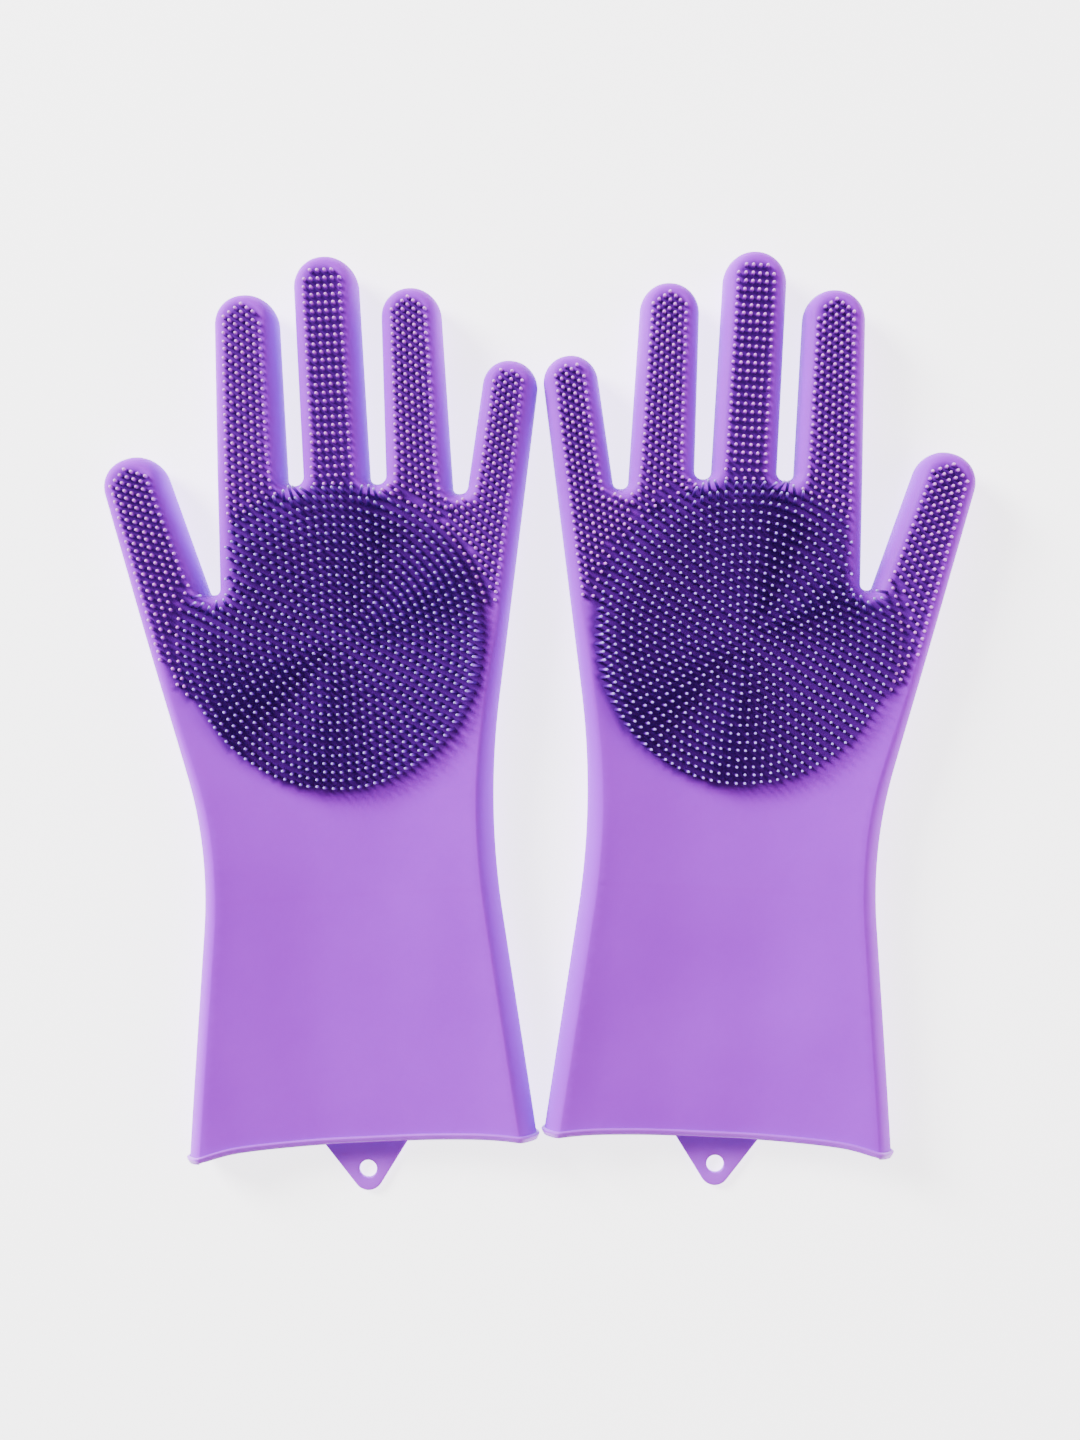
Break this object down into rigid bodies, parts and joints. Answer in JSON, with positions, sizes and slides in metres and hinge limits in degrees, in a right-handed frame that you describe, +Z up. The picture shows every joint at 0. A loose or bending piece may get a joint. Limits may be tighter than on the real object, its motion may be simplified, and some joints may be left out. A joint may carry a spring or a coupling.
{
  "type": "rubber gloves",
  "caption": "Pair of moulded silicone scrubbing gloves with bristled palms and fingers, long open cuffs and hang tabs, lying palm up.",
  "frame": {"origin": "middle of the pair on the surface that the gloves lie on", "axes": "+Z up out of the palms, +Y from the cuffs to the fingertips, +X from the left glove to the right glove"},
  "size_m": [0.331, 0.3598, 0.0275],
  "materials": {
    "silicone_skin": "satin moulded silicone",
    "silicone_rim": "satin moulded silicone, thicker rim and tab",
    "silicone_bristles": "fine silicone bristles, paler towards their tips"
  },
  "bodies": {
    "left_gauntlet": {"left_gauntlet_shell": "silicone_skin", "left_cuff_bead": "silicone_rim", "left_hang_tab": "silicone_rim"},
    "left_palm": {"left_palm_shell": "silicone_skin", "left_palm_disc_brush": "silicone_bristles", "left_palm_field_brush": "silicone_bristles"},
    "left_thumb_proximal": {"left_thumb_proximal_shell": "silicone_skin", "left_thumb_proximal_brush": "silicone_bristles"},
    "left_thumb_distal": {"left_thumb_distal_shell": "silicone_skin", "left_thumb_distal_brush": "silicone_bristles"},
    "left_index_proximal": {"left_index_proximal_shell": "silicone_skin", "left_index_proximal_brush": "silicone_bristles"},
    "left_index_distal": {"left_index_distal_shell": "silicone_skin", "left_index_distal_brush": "silicone_bristles"},
    "left_middle_proximal": {"left_middle_proximal_shell": "silicone_skin", "left_middle_proximal_brush": "silicone_bristles"},
    "left_middle_distal": {"left_middle_distal_shell": "silicone_skin", "left_middle_distal_brush": "silicone_bristles"},
    "left_ring_proximal": {"left_ring_proximal_shell": "silicone_skin", "left_ring_proximal_brush": "silicone_bristles"},
    "left_ring_distal": {"left_ring_distal_shell": "silicone_skin", "left_ring_distal_brush": "silicone_bristles"},
    "left_little_proximal": {"left_little_proximal_shell": "silicone_skin", "left_little_proximal_brush": "silicone_bristles"},
    "left_little_distal": {"left_little_distal_shell": "silicone_skin", "left_little_distal_brush": "silicone_bristles"},
    "right_gauntlet": {"right_gauntlet_shell": "silicone_skin", "right_cuff_bead": "silicone_rim", "right_hang_tab": "silicone_rim"},
    "right_palm": {"right_palm_shell": "silicone_skin", "right_palm_disc_brush": "silicone_bristles", "right_palm_field_brush": "silicone_bristles"},
    "right_thumb_proximal": {"right_thumb_proximal_shell": "silicone_skin", "right_thumb_proximal_brush": "silicone_bristles"},
    "right_thumb_distal": {"right_thumb_distal_shell": "silicone_skin", "right_thumb_distal_brush": "silicone_bristles"},
    "right_index_proximal": {"right_index_proximal_shell": "silicone_skin", "right_index_proximal_brush": "silicone_bristles"},
    "right_index_distal": {"right_index_distal_shell": "silicone_skin", "right_index_distal_brush": "silicone_bristles"},
    "right_middle_proximal": {"right_middle_proximal_shell": "silicone_skin", "right_middle_proximal_brush": "silicone_bristles"},
    "right_middle_distal": {"right_middle_distal_shell": "silicone_skin", "right_middle_distal_brush": "silicone_bristles"},
    "right_ring_proximal": {"right_ring_proximal_shell": "silicone_skin", "right_ring_proximal_brush": "silicone_bristles"},
    "right_ring_distal": {"right_ring_distal_shell": "silicone_skin", "right_ring_distal_brush": "silicone_bristles"},
    "right_little_proximal": {"right_little_proximal_shell": "silicone_skin", "right_little_proximal_brush": "silicone_bristles"},
    "right_little_distal": {"right_little_distal_shell": "silicone_skin", "right_little_distal_brush": "silicone_bristles"}
  },
  "joints": [
    {"name": "gloves_apart", "type": "slide", "parent": "left_gauntlet", "child": "right_gauntlet", "axis": [1, 0, 0], "range_m": [0, 0.12]},
    {"name": "left_wrist", "type": "hinge", "parent": "left_gauntlet", "child": "left_palm", "pos_m": [-0.07251, -0.04933, 0.012], "axis": [0.9984, 0.0558, 0], "range_deg": [0, 45], "stiffness_Nm_per_rad": 0.4},
    {"name": "left_thumb_base", "type": "hinge", "parent": "left_palm", "child": "left_thumb_proximal", "pos_m": [-0.14323, 0.05839, 0.012], "axis": [0.9563, 0.2924, 0], "range_deg": [0, 55], "stiffness_Nm_per_rad": 0.06},
    {"name": "left_thumb_middle", "type": "hinge", "parent": "left_thumb_proximal", "child": "left_thumb_distal", "pos_m": [-0.14966, 0.07943, 0.012], "axis": [0.9563, 0.2924, 0], "range_deg": [0, 60], "stiffness_Nm_per_rad": 0.04},
    {"name": "left_index_base", "type": "hinge", "parent": "left_palm", "child": "left_index_proximal", "pos_m": [-0.11036, 0.1028, 0.012], "axis": [0.9996, 0.0279, 0], "range_deg": [0, 65], "stiffness_Nm_per_rad": 0.06},
    {"name": "left_index_middle", "type": "hinge", "parent": "left_index_proximal", "child": "left_index_distal", "pos_m": [-0.11128, 0.13578, 0.012], "axis": [0.9996, 0.0279, 0], "range_deg": [0, 75], "stiffness_Nm_per_rad": 0.04},
    {"name": "left_middle_base", "type": "hinge", "parent": "left_palm", "child": "left_middle_proximal", "pos_m": [-0.07801, 0.10461, 0.012], "axis": [0.9984, 0.0558, 0], "range_deg": [0, 65], "stiffness_Nm_per_rad": 0.06},
    {"name": "left_middle_middle", "type": "hinge", "parent": "left_middle_proximal", "child": "left_middle_distal", "pos_m": [-0.08007, 0.14155, 0.012], "axis": [0.9984, 0.0558, 0], "range_deg": [0, 75], "stiffness_Nm_per_rad": 0.04},
    {"name": "left_ring_base", "type": "hinge", "parent": "left_palm", "child": "left_ring_proximal", "pos_m": [-0.04686, 0.10635, 0.012], "axis": [0.9993, 0.0384, 0], "range_deg": [0, 65], "stiffness_Nm_per_rad": 0.06},
    {"name": "left_ring_middle", "type": "hinge", "parent": "left_ring_proximal", "child": "left_ring_distal", "pos_m": [-0.04812, 0.13932, 0.012], "axis": [0.9993, 0.0384, 0], "range_deg": [0, 75], "stiffness_Nm_per_rad": 0.04},
    {"name": "left_little_base", "type": "hinge", "parent": "left_palm", "child": "left_little_proximal", "pos_m": [-0.01551, 0.10109, 0.012], "axis": [0.9921, -0.1253, 0], "range_deg": [0, 55], "stiffness_Nm_per_rad": 0.06},
    {"name": "left_little_middle", "type": "hinge", "parent": "left_little_proximal", "child": "left_little_distal", "pos_m": [-0.01301, 0.12093, 0.012], "axis": [0.9921, -0.1253, 0], "range_deg": [0, 60], "stiffness_Nm_per_rad": 0.04},
    {"name": "right_wrist", "type": "hinge", "parent": "right_gauntlet", "child": "right_palm", "pos_m": [0.07251, -0.04743, 0.012], "axis": [0.9984, -0.0558, 0], "range_deg": [0, 45], "stiffness_Nm_per_rad": 0.4},
    {"name": "right_thumb_base", "type": "hinge", "parent": "right_palm", "child": "right_thumb_proximal", "pos_m": [0.14323, 0.06029, 0.012], "axis": [0.9563, -0.2924, 0], "range_deg": [0, 55], "stiffness_Nm_per_rad": 0.06},
    {"name": "right_thumb_middle", "type": "hinge", "parent": "right_thumb_proximal", "child": "right_thumb_distal", "pos_m": [0.14966, 0.08133, 0.012], "axis": [0.9563, -0.2924, 0], "range_deg": [0, 60], "stiffness_Nm_per_rad": 0.04},
    {"name": "right_index_base", "type": "hinge", "parent": "right_palm", "child": "right_index_proximal", "pos_m": [0.11036, 0.1047, 0.012], "axis": [0.9996, -0.0279, 0], "range_deg": [0, 65], "stiffness_Nm_per_rad": 0.06},
    {"name": "right_index_middle", "type": "hinge", "parent": "right_index_proximal", "child": "right_index_distal", "pos_m": [0.11128, 0.13768, 0.012], "axis": [0.9996, -0.0279, 0], "range_deg": [0, 75], "stiffness_Nm_per_rad": 0.04},
    {"name": "right_middle_base", "type": "hinge", "parent": "right_palm", "child": "right_middle_proximal", "pos_m": [0.07801, 0.10651, 0.012], "axis": [0.9984, -0.0558, 0], "range_deg": [0, 65], "stiffness_Nm_per_rad": 0.06},
    {"name": "right_middle_middle", "type": "hinge", "parent": "right_middle_proximal", "child": "right_middle_distal", "pos_m": [0.08007, 0.14345, 0.012], "axis": [0.9984, -0.0558, 0], "range_deg": [0, 75], "stiffness_Nm_per_rad": 0.04},
    {"name": "right_ring_base", "type": "hinge", "parent": "right_palm", "child": "right_ring_proximal", "pos_m": [0.04686, 0.10825, 0.012], "axis": [0.9993, -0.0384, 0], "range_deg": [0, 65], "stiffness_Nm_per_rad": 0.06},
    {"name": "right_ring_middle", "type": "hinge", "parent": "right_ring_proximal", "child": "right_ring_distal", "pos_m": [0.04812, 0.14122, 0.012], "axis": [0.9993, -0.0384, 0], "range_deg": [0, 75], "stiffness_Nm_per_rad": 0.04},
    {"name": "right_little_base", "type": "hinge", "parent": "right_palm", "child": "right_little_proximal", "pos_m": [0.01551, 0.10299, 0.012], "axis": [0.9921, 0.1253, 0], "range_deg": [0, 55], "stiffness_Nm_per_rad": 0.06},
    {"name": "right_little_middle", "type": "hinge", "parent": "right_little_proximal", "child": "right_little_distal", "pos_m": [0.01301, 0.12283, 0.012], "axis": [0.9921, 0.1253, 0], "range_deg": [0, 60], "stiffness_Nm_per_rad": 0.04}
  ]
}
